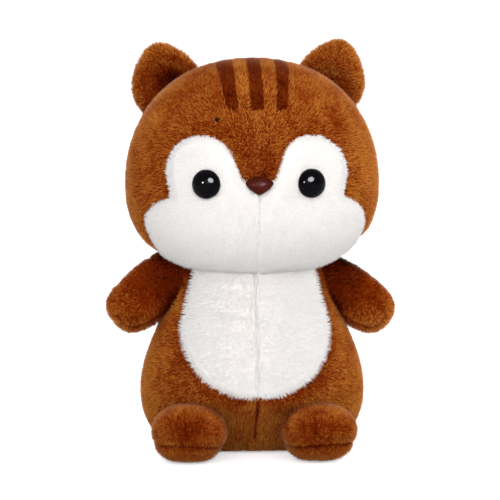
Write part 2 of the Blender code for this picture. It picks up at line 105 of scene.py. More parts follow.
def mixColours(tree, factor, start, end):
    colours = [colour if isinstance(colour, bpy.types.NodeSocket) else (*colour, 1) for colour in (start, end)]
    mix = addNode(tree, "ShaderNodeMix", data_type="RGBA")
    tree.links.new(factor, mix.inputs[0])
    for socket, colour in zip((mix.inputs[6], mix.inputs[7]), colours):
        if isinstance(colour, bpy.types.NodeSocket):
            tree.links.new(colour, socket)
        else:
            socket.default_value = colour
    return mix.outputs[2]


def sway(tree, noise, reach):
    # Turns a noise from 0 to 1 into a lift from -reach to reach.
    return addNode(tree, "ShaderNodeMath", {0: noise, 1: 2 * reach, 2: -reach}, operation="MULTIPLY_ADD").outputs[0]


# The pile's roots are darker than its tips, brushing leaves lighter and darker patches, and the
# deep colour is painted shade for creases and corners, mixed in where the lightness falls below zero.
plush = {
    "brown": {"deep": (0.020, 0.0018, 0.0005), "root": (0.12, 0.013, 0.0015), "dark": (0.33, 0.048, 0.003),
              "light": (0.76, 0.27, 0.040), "sheen": 0.26, "sheenTint": (1.0, 0.78, 0.56, 1)},
    "white": {"deep": (0.70, 0.66, 0.64), "root": (0.78, 0.75, 0.73), "dark": (0.90, 0.88, 0.865),
              "light": (0.95, 0.94, 0.93), "sheen": 0.10, "sheenTint": (1, 1, 1, 1)},
    "stripe": {"deep": (0.03, 0.003, 0.0004), "root": (0.05, 0.004, 0.0004), "dark": (0.105, 0.009, 0.001),
               "light": (0.33, 0.056, 0.006), "sheen": 0.30, "sheenTint": (1.0, 0.72, 0.52, 1)},
}
brushing = {"patchScale": 75.0, "patchReach": 1.0, "grainScale": 560.0, "grainReach": 0.9, "rootShare": 0.6}


def plushMaterial(name):
    look = plush[name]
    material, tree, shader = newMaterial(f"{name}Plush", {
        "Roughness": 0.9, "Specular IOR Level": 0.0, "Sheen Weight": look["sheen"],
        "Sheen Roughness": 0.30, "Sheen Tint": look["sheenTint"]})
    place = addNode(tree, "ShaderNodeTexCoord").outputs["Object"]
    patch = addNode(tree, "ShaderNodeTexNoise", {"Vector": place, "Scale": brushing["patchScale"], "Detail": 3.0,
                                                 "Roughness": 0.6, "Distortion": 0.6}).outputs["Fac"]
    grain = addNode(tree, "ShaderNodeTexNoise", {"Vector": place, "Scale": brushing["grainScale"],
                                                 "Detail": 1.0}).outputs["Fac"]
    shade = addNode(tree, "ShaderNodeAttribute", attribute_name="shade").outputs["Fac"]
    tip = addNode(tree, "ShaderNodeAttribute", attribute_name="tip").outputs["Fac"]
    lift = addNode(tree, "ShaderNodeMath", {0: sway(tree, patch, brushing["patchReach"]),
                                            1: sway(tree, grain, brushing["grainReach"])}).outputs[0]
    lightness = addNode(tree, "ShaderNodeMath", {0: lift, 1: shade}).outputs[0]
    pale = addNode(tree, "ShaderNodeMath", {0: lightness, 1: 1.0}, operation="MULTIPLY", use_clamp=True).outputs[0]
    # Below zero the lightness mixes in the painted shade.
    deep = addNode(tree, "ShaderNodeMath", {0: lightness, 1: -1.0}, operation="MULTIPLY", use_clamp=True).outputs[0]
    along = addNode(tree, "ShaderNodeMath", {0: tip, 1: brushing["rootShare"]}, operation="POWER").outputs[0]
    lit = mixColours(tree, along, look["root"], mixColours(tree, pale, look["dark"], look["light"]))
    tree.links.new(mixColours(tree, deep, lit, look["deep"]), shader.inputs["Base Color"])
    return material


materials = {name: plushMaterial(name) for name in plush}


# Basic forms

def quadBall(divisions):
    # A cube's grid swelled to a ball of radius 1: nearly even faces and no poles.
    ball = bmesh.new()
    bmesh.ops.create_cube(ball, size=2)
    bmesh.ops.subdivide_edges(ball, edges=ball.edges[:], cuts=divisions - 1, use_grid_fill=True)
    for vert in ball.verts:
        vert.co = Vector([math.tan(c * math.pi / 4) for c in vert.co]).normalized()
    return ball


def turned(profile, steps):
    # A profile of (radius, height) pairs, spun about Z. Its ends lie on the axis.
    shape = bmesh.new()
    verts = [shape.verts.new((radius, 0, height)) for radius, height in profile]
    edges = [shape.edges.new(pair) for pair in zip(verts, verts[1:])]
    bmesh.ops.spin(shape, geom=verts + edges, cent=(0, 0, 0), axis=(0, 0, 1), angle=math.tau,
                   steps=steps, use_merge=True)
    bmesh.ops.remove_doubles(shape, verts=shape.verts, dist=1e-6)
    bmesh.ops.recalc_face_normals(shape, faces=shape.faces)
    return shape


def places(items):
    return np.array([item.co for item in items]) if items else np.zeros((0, 3))


def middles(shape):
    return np.array([face.calc_center_median() for face in shape.faces])


def drawnLine(outline, steps=10):
    # A closed outline in the front view, of (x, z, is a corner), as a smooth run of points.
    curve = bpy.data.curves.new("outline", "CURVE")
    curve.dimensions = "2D"
    curve.fill_mode = "NONE"
    curve.resolution_u = steps
    spline = curve.splines.new("BEZIER")
    spline.bezier_points.add(len(outline) - 1)
    spline.use_cyclic_u = True
    for point, (x, z, corner) in zip(spline.bezier_points, outline):
        point.co = (x, z, 0)
        point.handle_left_type = point.handle_right_type = "VECTOR" if corner else "AUTO"
    holder = bpy.data.objects.new("outline", curve)
    bpy.context.collection.objects.link(holder)
    bpy.context.view_layer.update()
    mesh = bpy.data.meshes.new_from_object(holder.evaluated_get(bpy.context.evaluated_depsgraph_get()))
    line = np.array([vert.co[:2] for vert in mesh.vertices])
    bpy.data.objects.remove(holder)
    bpy.data.curves.remove(curve)
    bpy.data.meshes.remove(mesh)
    return line


def lineGap(points, line):
    # Distance in the front view from a closed line, negative inside it.
    flat = points[:, [0, 2]]
    run = np.roll(line, -1, axis=0) - line
    away = flat[:, None] - line[None]
    share = np.clip((away * run).sum(2) / ((run ** 2).sum(1) + 1e-18), 0, 1)
    distance = np.sqrt(((away - share[..., None] * run) ** 2).sum(2)).min(1)
    level = run[:, 1] + 1e-15
    after = np.roll(line, -1, axis=0)
    spans = (line[:, 1] > flat[:, None, 1]) != (after[:, 1] > flat[:, None, 1])
    reach = line[:, 0] + run[:, 0] * away[..., 1] / level
    inside = (spans & (flat[:, None, 0] < reach)).sum(1) % 2 == 1
    return np.where(inside, -distance, distance)


def cutAlong(shape, gap):
    # Cuts the mesh where the gap changes sign. A corner that is close to that line moves onto it.
    verts = list(shape.verts)
    worth = dict(zip(verts, gap(places(verts)).tolist()))
    for edge in shape.edges:
        one, other = edge.verts
        if worth[one] * worth[other] < 0:
            share = worth[one] / (worth[one] - worth[other])
            near = one if share < 0.5 else other
            if min(share, 1 - share) < 0.2:
                near.co = one.co.lerp(other.co, share)
                worth[near] = 0
    for edge in list(shape.edges):
        one, other = edge.verts
        if worth[one] * worth[other] < 0:
            _, added = bmesh.utils.edge_split(edge, one, worth[one] / (worth[one] - worth[other]))
            worth[added] = 0
    bmesh.ops.connect_verts(shape, verts=[vert for vert, value in worth.items() if value == 0])


def levelLine(shape, gap, keep=lambda point: True):
    # Closely spaced points of the mesh's surface where the gap is zero.
    verts = list(shape.verts)
    worth = dict(zip(verts, gap(places(verts)).tolist()))
    found = []
    for face in shape.faces:
        signs = [worth[vert] for vert in face.verts]
        if min(signs) > 0 or max(signs) < 0:
            continue
        ends = []
        for edge in face.edges:
            one, other = edge.verts
            if (worth[one] > 0) != (worth[other] > 0):
                ends.append(one.co.lerp(other.co, worth[one] / (worth[one] - worth[other])))
        if len(ends) == 2:
            found += [ends[0].lerp(ends[1], share / 4) for share in range(5)]
    return [point for point in found if keep(point)]


def sinkSeam(shape, points, depth, width):
    # Draws the surface in along a seam.
    if not points:
        return
    near = kdtree.KDTree(len(points))
    for index, point in enumerate(points):
        near.insert(point, index)
    near.balance()
    shape.normal_update()
    moves = []
    for vert in shape.verts:
        distance = near.find(vert.co)[2]
        if distance < 3 * width:
            moves.append((vert, vert.normal * depth * math.exp(-(distance / width) ** 2)))
    for vert, move in moves:
        vert.co -= move


stuffing = {
    "scale": 10.0, "steps": 6, "pressure": 20.0, "mass": 0.05, "stiffness": 5.0,
    "spare": 0.045,             # how much larger the fabric is than its seams
    "swell": 0.0008, "most": 0.0013,
}


def stuff(shape, seams, held=lambda point: False):
    # Swells the fabric between its seams, by a cloth run at ten times the size.
    near = kdtree.KDTree(len(seams))
    for index, point in enumerate(seams):
        near.insert(point, index)
    near.balance()
    verts = list(shape.verts)
    shape.normal_update()
    distances = [near.find(vert.co)[2] for vert in verts]
    large = shape.copy()
    bmesh.ops.scale(large, vec=Vector([stuffing["scale"]] * 3), verts=large.verts)
    cushion = addObject("cloth run", large)
    large.free()
    pins = cushion.vertex_groups.new(name="seams")
    pins.add([index for index, (vert, distance) in enumerate(zip(verts, distances))
              if distance < 0.0012 or held(vert.co)], 1.0, "REPLACE")
    cloth = cushion.modifiers.new("cloth", "CLOTH")
    cloth.settings.vertex_group_mass = "seams"
    cloth.settings.quality = 5
    cloth.settings.mass = stuffing["mass"]
    cloth.settings.effector_weights.gravity = 0
    cloth.settings.use_pressure = True
    cloth.settings.uniform_pressure_force = stuffing["pressure"]
    cloth.settings.tension_stiffness = cloth.settings.compression_stiffness = stuffing["stiffness"]
    cloth.settings.shear_stiffness = stuffing["stiffness"] / 3
    cloth.settings.shrink_min = -stuffing["spare"]
    cloth.collision_settings.use_collision = False
    cloth.collision_settings.use_self_collision = False
    for step in range(1, stuffing["steps"] + 1):
        bpy.context.scene.frame_set(step)
    swollen = cushion.evaluated_get(bpy.context.evaluated_depsgraph_get()).to_mesh()
    for vert, moved in zip(verts, swollen.vertices):
        move = moved.co / stuffing["scale"] - vert.co
        if move.length > stuffing["most"]:
            move *= stuffing["most"] / move.length
        vert.co += move
    spent = cushion.data
    bpy.data.objects.remove(cushion)
    bpy.data.meshes.remove(spent)
    bpy.context.scene.frame_set(1)


def takeFaces(shape, keep):
    # A copy of the faces that keep names, one true or false for each.
    panel = shape.copy()
    panel.faces.ensure_lookup_table()
    bmesh.ops.delete(panel, geom=[face for face, kept in zip(list(panel.faces), keep) if not kept],
                     context="FACES")
    return panel


def addObject(name, shape):
    mesh = bpy.data.meshes.new(name)
    shape.to_mesh(mesh)
    mesh.shade_smooth()
    added = bpy.data.objects.new(name, mesh)
    bpy.context.collection.objects.link(added)
    return added


def finishPiece(piece, slot, *nodes):
    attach(piece, "root")
    if nodes:
        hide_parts(*nodes)


# Skins and pile

skinWall = 0.0012
seamGap = 0.00002
floorClear = 0.0012             # pile that would grow below this level is left out
pileKinds = {
    "brown": {"length": 0.0026, "width": 0.00052, "spacing": 0.00056, "lean": 0.20, "ruffle": 0.34, "clump": 0.28,
              "relief": 0.48},
    "white": {"length": 0.0026, "width": 0.00052, "spacing": 0.00056, "lean": 0.20, "ruffle": 0.32, "clump": 0.26,
              "relief": 0.35},
    "belly": {"length": 0.0038, "width": 0.00052, "spacing": 0.00057, "lean": 0.42, "ruffle": 0.30, "clump": 0.22,
              "relief": 0.30},
    "velvet": {"length": 0.0026, "width": 0.00052, "spacing": 0.00056, "lean": 0.20, "ruffle": 0.24, "clump": 0.18,
               "relief": 0.40},
    "stripe": {"length": 0.0025, "width": 0.00050, "spacing": 0.00056, "lean": 0.20, "ruffle": 0.36, "clump": 0.42,
               "relief": 0.60},
}
pileSlots = {"brown": "brown_plush", "velvet": "brown_plush", "white": "white_plush", "belly": "white_plush", "stripe": "dark_plush"}
pileFinish = {"brown": "brown", "velvet": "brown", "white": "white", "belly": "white", "stripe": "stripe"}


def makeSkin(name, shape, kind, node):
    # The fabric of a stuffed piece, from its outer surface. Open edges draw back from their seam.
    pulls = []
    for vert in shape.verts:
        if vert.is_boundary:
            inner = [edge.other_vert(vert).co for edge in vert.link_edges if not edge.is_boundary]
            if inner:
                toward = sum(inner, Vector()) / len(inner) - vert.co
                pulls.append((vert, toward.normalized() * min(seamGap, toward.length / 3)))
    for vert, pull in pulls:
        vert.co += pull
    skin = addObject(name, shape)
    skin.data.materials.append(materials[pileFinish[kind]])
    wall = skin.modifiers.new("wall", "SOLIDIFY")
    wall.thickness = skinWall
    wall.offset = -1
    finishPiece(skin, pileSlots[kind], node)
    return skin


def growPile(name, shape, kind, seams, flow, light, seed, overlap=0.0):
    # The pile of an outer surface: flow gives the lie of the pile at a point, light how pale it is
    # at a corner, painted light and shade included. Each of the seams has points, how much painted
    # shade darkens it, and the length that is left of its pile. Overlap leans the pile over the first of them.
    look = pileKinds[kind]
    resting = [face for face in shape.faces if face.calc_center_median().z < floorClear]
    bmesh.ops.delete(shape, geom=resting, context="FACES")
    sewn = [(point, *looks) for points, *looks in seams for point in points] or [(Vector((0, 0, -10)), 0, 1)]
    near = kdtree.KDTree(len(sewn))
    for index, (point, _, _) in enumerate(sewn):
        near.insert(point, index)
    near.balance()
    shape.normal_update()
    lean = shape.verts.layers.float_vector.new("lean")
    pale = shape.verts.layers.float.new("pale")
    for vert in shape.verts:
        seam, index, distance = near.find(vert.co)
        close = math.exp(-(distance / 0.003) ** 2) if seams and index < len(seams[0][0]) else 0
        lie = Vector(flow(vert.co)) * look["lean"]
        lie -= vert.normal * lie.dot(vert.normal)
        over = seam - vert.co
        over -= vert.normal * over.dot(vert.normal)
        if over.length > 1e-6:
            lie += over.normalized() * overlap * close
        vert[lean] = lie
        vert[pale] = light(vert)
    piece = addObject(name, shape)
    piece.data.materials.append(materials[pileFinish[kind]])
    grow = piece.modifiers.new("pile", "NODES")
    grow.node_group = pileNodes(name, look, materials[pileFinish[kind]], seed)
    done = bpy.data.meshes.new_from_object(piece.evaluated_get(bpy.context.evaluated_depsgraph_get()))
    piece.modifiers.clear()
    spent = piece.data
    piece.data = done
    done.name = name
    bpy.data.meshes.remove(spent)
    for layer in ("lean", "pale", "rest"):
        if layer in done.attributes:
            done.attributes.remove(done.attributes[layer])
    trimPile(done, near, sewn)
    finishPiece(piece, pileSlots[kind])
    print(name, len(done.polygons), "triangles")
    return piece


def trimPile(pile, near, sewn):
    # Shortens the tufts along the seams and paints shade into them there (a negative amount makes them paler), and
    # keeps them above the floor.
    tips, shades = (np.empty(len(pile.vertices), np.float32) for _ in range(2))
    spots = np.empty(len(pile.vertices) * 3, np.float32)
    pile.vertices.foreach_get("co", spots)
    pile.attributes["tip"].data.foreach_get("value", tips)
    pile.attributes["shade"].data.foreach_get("value", shades)
    spots, shades = spots.reshape(-1, 4, 3), shades.reshape(-1, 4)      # a tuft has four corners
    tip = int(np.argmax(tips[:4]))
    roots = (spots.sum(1) - spots[:, tip]) / 3
    for tuft, root in enumerate(roots.tolist()):
        _, index, distance = near.find(root)
        if distance < 0.003:
            _, shadow, left = sewn[index]
            shades[tuft] -= shadow * math.exp(-(distance / 0.0008) ** 2)
            spots[tuft, tip] += (roots[tuft] - spots[tuft, tip]) * (1 - left) * math.exp(-(distance / 0.0015) ** 2)
    spots[:, :, 2] = np.maximum(spots[:, :, 2], floorClear / 2)
    pile.vertices.foreach_set("co", spots.ravel())
    pile.attributes["shade"].data.foreach_set("value", shades.ravel())
    pile.update()


def pileNodes(name, look, material, seed):
    tree = bpy.data.node_groups.new(name, "GeometryNodeTree")
    tree.interface.new_socket(name="Geometry", in_out="INPUT", socket_type="NodeSocketGeometry")
    tree.interface.new_socket(name="Geometry", in_out="OUTPUT", socket_type="NodeSocketGeometry")
    start = addNode(tree, "NodeGroupInput").outputs[0]
    spread = addNode(tree, "GeometryNodeDistributePointsOnFaces", {
        "Mesh": start, "Distance Min": look["spacing"] * 0.8, "Density Max": 1.25 / look["spacing"] ** 2,
        "Seed": seed}, distribute_method="POISSON")
    lean = addNode(tree, "GeometryNodeInputNamedAttribute", {"Name": "lean"}, data_type="FLOAT_VECTOR").outputs[0]
    pale = addNode(tree, "GeometryNodeInputNamedAttribute", {"Name": "pale"}, data_type="FLOAT").outputs[0]
    place = addNode(tree, "GeometryNodeInputPosition").outputs[0]
    ruffle = addNode(tree, "FunctionNodeRandomValue", {0: [-look["ruffle"]] * 3, 1: [look["ruffle"]] * 3,
                                                       "Seed": seed + 1}, data_type="FLOAT_VECTOR").outputs[0]
    clumps = addNode(tree, "ShaderNodeTexNoise", {"Vector": place, "Scale": 330.0, "Detail": 2.0}).outputs[1]
    centred = addNode(tree, "ShaderNodeVectorMath", {0: clumps, 1: [0.5] * 3}, operation="SUBTRACT").outputs[0]
    clump = addNode(tree, "ShaderNodeVectorMath", {0: centred, "Scale": 2 * look["clump"]},
                    operation="SCALE").outputs[0]
    direction = addNode(tree, "ShaderNodeVectorMath", {0: spread.outputs["Normal"], 1: lean}).outputs[0]
    direction = addNode(tree, "ShaderNodeVectorMath", {0: direction, 1: ruffle}).outputs[0]
    direction = addNode(tree, "ShaderNodeVectorMath", {0: direction, 1: clump}).outputs[0]
    upright = addNode(tree, "FunctionNodeAlignRotationToVector", {"Vector": direction}, axis="Z").outputs[0]
    turn = addNode(tree, "FunctionNodeRandomValue", {2: 0.0, 3: math.tau, "Seed": seed + 2},
                   data_type="FLOAT").outputs[1]
    spun = addNode(tree, "FunctionNodeAxisAngleToRotation", {"Axis": (0, 0, 1), "Angle": turn}).outputs[0]
    rotation = addNode(tree, "FunctionNodeRotateRotation", {0: upright, 1: spun}, rotation_space="LOCAL").outputs[0]
    tuft = addNode(tree, "GeometryNodeMeshCone", {"Vertices": 3, "Side Segments": 1, "Radius Top": 0.0,
                                                  "Radius Bottom": look["width"] / 2,
                                                  "Depth": look["length"]}, fill_type="NONE").outputs[0]
    height = addNode(tree, "ShaderNodeSeparateXYZ", {0: place}).outputs[2]
    tip = addNode(tree, "ShaderNodeMath", {0: height, 1: look["length"]}, operation="DIVIDE").outputs[0]
    tuft = addNode(tree, "GeometryNodeStoreNamedAttribute", {"Geometry": tuft, "Name": "tip", "Value": tip},
                   data_type="FLOAT", domain="POINT").outputs[0]
    uneven = addNode(tree, "FunctionNodeRandomValue", {2: 0.78, 3: 1.08, "Seed": seed + 3},
                     data_type="FLOAT").outputs[1]
    scale = addNode(tree, "ShaderNodeCombineXYZ", {0: 1.0, 1: 1.0, 2: uneven}).outputs[0]
    instances = addNode(tree, "GeometryNodeInstanceOnPoints", {
        "Points": spread.outputs["Points"], "Instance": tuft, "Rotation": rotation, "Scale": scale}).outputs[0]
    varied = addNode(tree, "FunctionNodeRandomValue", {2: -0.27, 3: 0.27, "Seed": seed + 4},
                     data_type="FLOAT").outputs[1]
    shade = addNode(tree, "ShaderNodeMath", {0: pale, 1: varied}).outputs[0]
    instances = addNode(tree, "GeometryNodeStoreNamedAttribute", {
        "Geometry": instances, "Name": "shade", "Value": shade}, data_type="FLOAT", domain="INSTANCE").outputs[0]
    instances = addNode(tree, "GeometryNodeStoreNamedAttribute", {
        "Geometry": instances, "Name": "rest", "Value": spread.outputs["Normal"]},
        data_type="FLOAT_VECTOR", domain="INSTANCE").outputs[0]
    realised = addNode(tree, "GeometryNodeRealizeInstances", {"Geometry": instances}).outputs[0]
    smooth = addNode(tree, "GeometryNodeSetShadeSmooth", {"Geometry": realised}).outputs[0]
    rest = addNode(tree, "GeometryNodeInputNamedAttribute", {"Name": "rest"}, data_type="FLOAT_VECTOR").outputs[0]
    own = addNode(tree, "GeometryNodeInputNormal").outputs[0]
    soft = addNode(tree, "ShaderNodeVectorMath", {0: own, 1: [look["relief"]] * 3, 2: rest},
                   operation="MULTIPLY_ADD").outputs[0]
    unit = addNode(tree, "ShaderNodeVectorMath", {0: soft}, operation="NORMALIZE").outputs[0]
    smooth = addNode(tree, "GeometryNodeSetMeshNormal", {0: smooth, 1: unit}, mode="FREE",
                     domain="POINT").outputs[0]
    finished = addNode(tree, "GeometryNodeSetMaterial", {"Geometry": smooth, "Material": material}).outputs[0]
    addNode(tree, "NodeGroupOutput", {0: finished})
    return tree


# Head: its form is the CAD's, drawn in by the depth of the pile

head = {
    "width": 0.140, "depth": 0.118, "chin": 0.0967, "cheekRise": 0.0517, "crownRise": 0.0691,
    "crownPower": 2.14, "chinPower": 2.4, "divisions": 64, "underPile": 0.0035,
    "panelBack": -0.0025,       # the white panels end here, behind the chin
    "seamDepth": 0.0011, "seamWidth": 0.0016, "faintDepth": 0.0001, "faintWidth": 0.0010,
}
cheekHeight = head["chin"] + head["cheekRise"]
headMiddle = Vector((0, 0, cheekHeight))
face = {
    "bridgeHalfWidth": 0.0083, "bridgeRise": 0.0093, "lobeRise": 0.0321, "lobeHalfWidth": 0.0490,
    "notchDrop": 0.0018, "cheekHalfWidth": 0.0600, "cheekDrop": 0.0155, "tuck": 0.006,
    "drawnIn": 0.0008,          # its pile spreads this far over the brown
    "jawShift": 0.0013, "lobeShift": 0.0016,    # it is sewn a little askew
}
stripes = {
    "footRise": 0.0446, "middleFoot": 0.0074, "middleCrown": 0.0080, "sideOffset": 0.0100,
    "sideSpread": 0.0014, "sideFoot": 0.0061, "sideCrown": 0.0080, "reachBack": 0.016, "over": 0.003,
    "rightWider": 0.0014,       # the top of the right one
}


def headGap(points, grow=0.0):
    # Distance from the head's form along the line to its middle, negative inside.
    away = points - np.array(headMiddle)
    up = away[:, 2] > 0
    height = np.where(up, head["crownRise"], head["cheekRise"]) + grow
    power = np.where(up, head["crownPower"], head["chinPower"])
    level = (away[:, 0] / (head["width"] / 2 + grow)) ** 2 + (away[:, 1] / (head["depth"] / 2 + grow)) ** 2
    size = (level ** (power / 2) + (abs(away[:, 2]) / height) ** power) ** (1 / power)
    return np.linalg.norm(away, axis=1) * (1 - 1 / np.maximum(size, 1e-6))


def headForm(grow, divisions):
    ball = quadBall(divisions)
    stretch = Vector((head["width"], head["depth"], head["cheekRise"] + head["crownRise"]))
    for vert in ball.verts:
        vert.co = headMiddle + (vert.co * stretch).normalized()
    gaps = headGap(places(list(ball.verts)), grow)
    for vert, gap in zip(ball.verts, gaps.tolist()):
        vert.co -= (vert.co - headMiddle).normalized() * gap
    return ball


def faceOutline():
    bridge, lobeTop = cheekHeight + face["bridgeRise"], cheekHeight + face["lobeRise"]
    lobeHeight, lobeWidth = lobeTop - bridge, face["lobeHalfWidth"] - face["bridgeHalfWidth"]
    notch, cheek = cheekHeight - face["notchDrop"], cheekHeight - face["cheekDrop"]
    jaw, under = cheek - head["chin"], head["chin"] - face["tuck"]
    inner, outer, wide = face["bridgeHalfWidth"], face["lobeHalfWidth"], face["cheekHalfWidth"]
    oneSide = [
        (inner, bridge, True),
        (inner + 0.04 * lobeWidth, bridge + 0.20 * lobeHeight, False),
        (inner + 0.26 * lobeWidth, bridge + 0.85 * lobeHeight, False),
        (inner + 0.53 * lobeWidth, lobeTop, False),
        (inner + 0.85 * lobeWidth, bridge + 0.77 * lobeHeight, False),
        (outer, bridge + 0.27 * lobeHeight, False),
        (0.98 * outer, notch, True),
        (outer + 0.62 * (wide - outer), 0.6 * notch + 0.4 * cheek, False),
        (wide, cheek, False),
        (0.975 * wide, cheek - 0.24 * jaw, False),
        (0.855 * wide, cheek - 0.60 * jaw, False),
        (0.66 * wide, cheek - 0.93 * jaw, False),
        (0.50 * wide, under, True),
    ]
    outline = oneSide + [(-x, z, corner) for x, z, corner in reversed(oneSide)]
    lobe = bridge + 0.5 * lobeHeight
    return [(x + face["jawShift"] * min(1, max(0, (cheek - z) / (0.6 * jaw)))
             - face["lobeShift"] * (x > 0 and z > lobe), z, corner) for x, z, corner in outline]


def stripeOutline(footInner, footOuter, crownInner, crownOuter):
    foot, crown = cheekHeight + stripes["footRise"], cheekHeight + head["crownRise"]
    top = crown + stripes["over"]
    return [(footInner, foot, True), (footOuter, foot, True), (crownOuter, crown, True),
            (crownOuter, top, True), (crownInner, top, True), (crownInner, crown, True)]


def stripeOutlines():
    half, crown = stripes["middleFoot"] / 2, stripes["middleCrown"] / 2
    outlines = {"stripe_middle": stripeOutline(-half, half, -crown, crown)}
    edges = (stripes["sideOffset"], stripes["sideOffset"] + stripes["sideFoot"],
             stripes["sideOffset"] + stripes["sideSpread"],
             stripes["sideOffset"] + stripes["sideSpread"] + stripes["sideCrown"])
    wider = {"left": (0, 0, 0, 0), "right": (0, 0, -0.4 * stripes["rightWider"], stripes["rightWider"])}
    for name, side in sides:
        outlines[f"stripe_{name}"] = stripeOutline(*[side * (edge + more) for edge, more in zip(edges, wider[name])])
    return outlines


def headFlow(point):
    # The pile lies away from the brow and down the sides and back.
    away = point - Vector((0, -head["depth"] / 2, cheekHeight + 0.012))
    return away.normalized() + Vector((0, 0, -0.35))


def makeHead():
    shape = headForm(-head["underPile"], head["divisions"])
    faceLine = drawnLine(faceOutline())

    def faceGap(points):
        return np.maximum(lineGap(points, faceLine) + face["drawnIn"], points[:, 1] - head["panelBack"])

    gaps = {"face": faceGap}
    for name, outline in stripeOutlines().items():
        line = drawnLine(outline, 1)
        gaps[name] = lambda points, line=line: np.maximum(lineGap(points, line), points[:, 1] - stripes["reachBack"])
    for gap in gaps.values():
        cutAlong(shape, gap)
    middle = lambda points: points[:, 0] + 1e-9
    faceSeam = levelLine(shape, lambda points: faceGap(points) + 1e-7)
    stripeSeams = [point for name, gap in gaps.items() if name != "face"
                   for point in levelLine(shape, lambda points, gap=gap: gap(points) + 1e-7)]
    foot, bridge = cheekHeight + stripes["footRise"], cheekHeight + face["bridgeRise"]
    foreheadSeam = levelLine(shape, middle, lambda p: p.y < 0 and bridge < p.z < foot)
    footSeam = levelLine(shape, lambda points: points[:, 2] - foot,
                         lambda p: p.y < 0 and abs(p.x) < stripes["sideOffset"] + stripes["sideFoot"])
    chinSeam = levelLine(shape, middle, lambda p: p.y < 0 and p.z < bridge)
    backSeam = levelLine(shape, middle, lambda p: p.y > stripes["reachBack"])
    sinkSeam(shape, faceSeam, head["seamDepth"], head["seamWidth"])
    sinkSeam(shape, stripeSeams + footSeam, 0.0003, 0.0012)
    sinkSeam(shape, foreheadSeam + backSeam, head["seamDepth"] * 0.7, head["seamWidth"])
    sinkSeam(shape, chinSeam, head["faintDepth"], head["faintWidth"])
    stuff(shape, faceSeam + foreheadSeam + backSeam)
    print("head sewn")

    centres = middles(shape)
    inFace = faceGap(centres) < 0
    inStripes = {name: gap(centres) < 0 for name, gap in gaps.items() if name != "face"}
    brown = ~inFace
    for within in inStripes.values():
        brown &= ~within
    brownSeams = [(faceSeam, 0.5, 0.8), (stripeSeams + footSeam, -0.3, 0.9), (foreheadSeam, -0.5, 0.8),
                  (backSeam, 0.9, 0.35)]
    makeSkin("head_skin", takeFaces(shape, brown), "brown", "head")
    for name, kept in (("head_pile_front", centres[:, 1] < 0), ("head_pile_back", centres[:, 1] >= 0)):
        growPile(name, takeFaces(shape, brown & kept), "brown", brownSeams, headFlow, headPale, 11)
    for name, side in sides:
        kept = inFace & (side * centres[:, 0] > 0)
        makeSkin(f"face_patch_{name}_skin", takeFaces(shape, kept), "white", f"face_patch_{name}")
    growPile("face_pile", takeFaces(shape, inFace), "white", [(faceSeam, 0, 0.8), (chinSeam, 0.25, 0.93)], headFlow,
             lambda vert: 0.6, 21)
    for name, kept in inStripes.items():
        makeSkin(f"{name}_skin", takeFaces(shape, kept), "stripe", name)
        growPile(f"{name}_pile", takeFaces(shape, kept), "stripe", [(stripeSeams, -0.2, 0.9)], headFlow,
                 lambda vert: 0.42, 31)
    shape.free()


def headPale(vert):
    # Paler between the stripes and a little paler down the middle of the front; painted light down the sides of the
    # head, more on its left side.
    point = vert.co
    edge = stripes["sideOffset"] + stripes["sideFoot"]
    between = point.z > cheekHeight + stripes["footRise"] and abs(point.x) < edge
    side = max(0.0, abs(point.x) / (head["width"] / 2) - 0.45)
    brow = 0.14 * math.exp(-(point.x / 0.018) ** 2) if point.y < 0 and not between else 0
    return 0.34 + (0.5 if point.x < 0 else 0.75) * side + (0.22 if between else 0) + brow


makeHead()
print("head ready")


# Ears

ears = {
    "length": 0.046, "width": 0.046, "thickness": 0.013, "cup": 0.0080, "narrowing": 0.38,
    "rootAngle": 49.4, "rootDepth": 0.0213, "lean": 16.5, "setBack": 0.015, "turn": 12.0,
    "divisions": 30, "underPile": 0.0019,
    "hollowIn": {"left": 0.22, "right": 0.16}, "hollowDown": {"left": 0.36, "right": 0.12},
    # Painted shade darkens the hollow and the root beside the head, and the left ear is painted paler than the
    # right, as the light falls more on that side.
    "hollowReach": 0.66, "hollowShade": {"left": 0.95, "right": 2.0}, "rootShade": 0.5,
    "pale": {"left": 0.66, "right": 0.44},
    "shift": {"left": 0.0, "right": 0.0016}, "lift": {"left": 0.0011, "right": 0.0},
}


